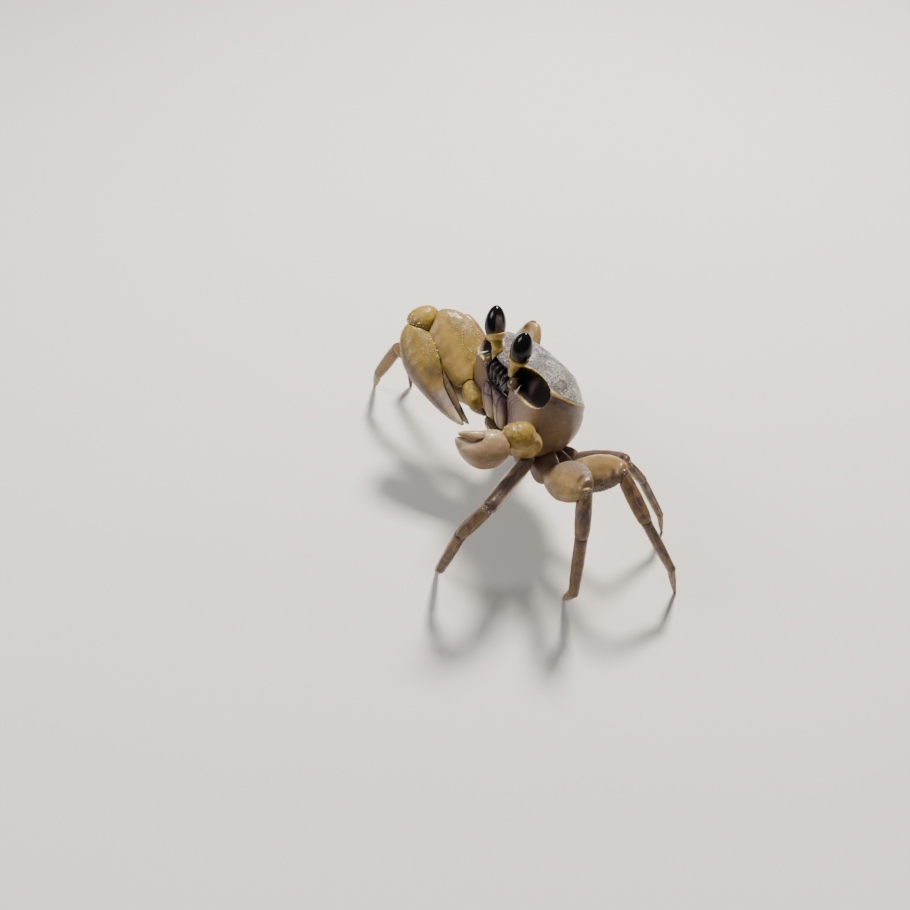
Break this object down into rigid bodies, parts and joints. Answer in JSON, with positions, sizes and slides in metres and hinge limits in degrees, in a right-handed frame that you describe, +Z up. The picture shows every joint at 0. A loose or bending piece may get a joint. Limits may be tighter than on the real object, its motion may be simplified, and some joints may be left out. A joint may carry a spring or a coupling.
{
  "type": "ghost crab model",
  "caption": "Still life-size model of a ghost crab, alert, with raised eyestalks, a large and a small claw, deep box-shaped shell and arched walking legs.",
  "frame": {"origin": "on the floor under the middle of the crab's overall box", "axes": "+Z is up, -Y is the way the crab faces and +X is its left side; the feet stand on Z = 0"},
  "size_m": [0.0852, 0.0538, 0.0491],
  "materials": {
    "carapace": "grey-lilac shell with a fine granular surface and cream edges",
    "underside": "smooth brown-grey to cream shell",
    "claw": "olive-yellow shell, faintly translucent, with white fingertips",
    "leg": "amber-yellow shell, faintly translucent",
    "shin": "purple-brown shell with yellow sides",
    "eye": "wet glossy black-brown",
    "stalk": "yellow-green, satin"
  },
  "bodies": {
    "root": {"abdomen": "underside", "carapace": "carapace", "claw_carpus_left": "claw", "claw_carpus_right": "claw", "claw_dactylus_left": "claw", "claw_dactylus_right": "claw", "claw_ischium_left": "claw", "claw_ischium_right": "claw", "claw_manus_left": "claw", "claw_manus_right": "claw", "claw_merus_left": "claw", "claw_merus_right": "claw", "eye_left": "eye", "eye_right": "eye", "eyestalk_left": "stalk", "eyestalk_right": "stalk", "leg2_carpus_left": "shin", "leg2_carpus_right": "shin", "leg2_coxa_left": "underside", "leg2_coxa_right": "underside", "leg2_dactylus_left": "shin", "leg2_dactylus_right": "shin", "leg2_merus_left": "leg", "leg2_merus_right": "leg", "leg2_propodus_left": "shin", "leg2_propodus_right": "shin", "leg3_carpus_left": "shin", "leg3_carpus_right": "shin", "leg3_coxa_left": "underside", "leg3_coxa_right": "underside", "leg3_dactylus_left": "shin", "leg3_dactylus_right": "shin", "leg3_merus_left": "leg", "leg3_merus_right": "leg", "leg3_propodus_left": "shin", "leg3_propodus_right": "shin", "leg4_carpus_left": "shin", "leg4_carpus_right": "shin", "leg4_coxa_left": "underside", "leg4_coxa_right": "underside", "leg4_dactylus_left": "shin", "leg4_dactylus_right": "shin", "leg4_merus_left": "leg", "leg4_merus_right": "leg", "leg4_propodus_left": "shin", "leg4_propodus_right": "shin", "leg5_carpus_left": "shin", "leg5_carpus_right": "shin", "leg5_coxa_left": "underside", "leg5_coxa_right": "underside", "leg5_dactylus_left": "shin", "leg5_dactylus_right": "shin", "leg5_merus_left": "leg", "leg5_merus_right": "leg", "leg5_propodus_left": "shin", "leg5_propodus_right": "shin", "maxilliped_left": "underside", "maxilliped_right": "underside", "sternum": "underside"}
  },
  "joints": []
}
